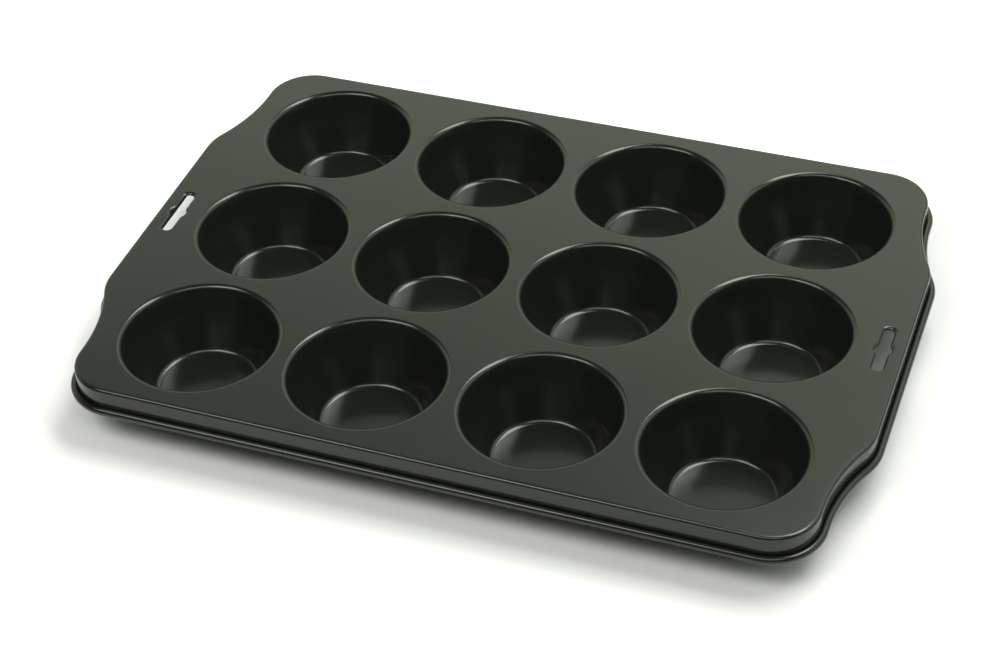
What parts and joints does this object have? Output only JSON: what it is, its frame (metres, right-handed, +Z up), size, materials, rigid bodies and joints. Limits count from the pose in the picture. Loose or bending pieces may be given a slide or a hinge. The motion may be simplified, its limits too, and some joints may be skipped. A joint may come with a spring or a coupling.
{
  "type": "muffin pan",
  "caption": "Flat rectangular baking pan of dark coated sheet steel with tapered round cups, a shallow ear with a hang slot at each end and a skirt with a rolled wire bead.",
  "frame": {"origin": "middle of the cup grid, on the surface that the cup floors stand on", "axes": "+X along the long side, +Y to the rear long side, +Z up out of the cup mouths"},
  "size_m": [0.3636, 0.2574, 0.03],
  "materials": {
    "coated_steel": "satin dark olive-grey non-stick coating",
    "wire_steel": "bare drawn wire"
  },
  "bodies": {
    "root": {"deck": "coated_steel", "cup_r1_c1": "coated_steel", "cup_r1_c2": "coated_steel", "cup_r1_c3": "coated_steel", "cup_r1_c4": "coated_steel", "cup_r2_c1": "coated_steel", "cup_r2_c2": "coated_steel", "cup_r2_c3": "coated_steel", "cup_r2_c4": "coated_steel", "cup_r3_c1": "coated_steel", "cup_r3_c2": "coated_steel", "cup_r3_c3": "coated_steel", "cup_r3_c4": "coated_steel", "rim_wire": "wire_steel"}
  },
  "joints": []
}
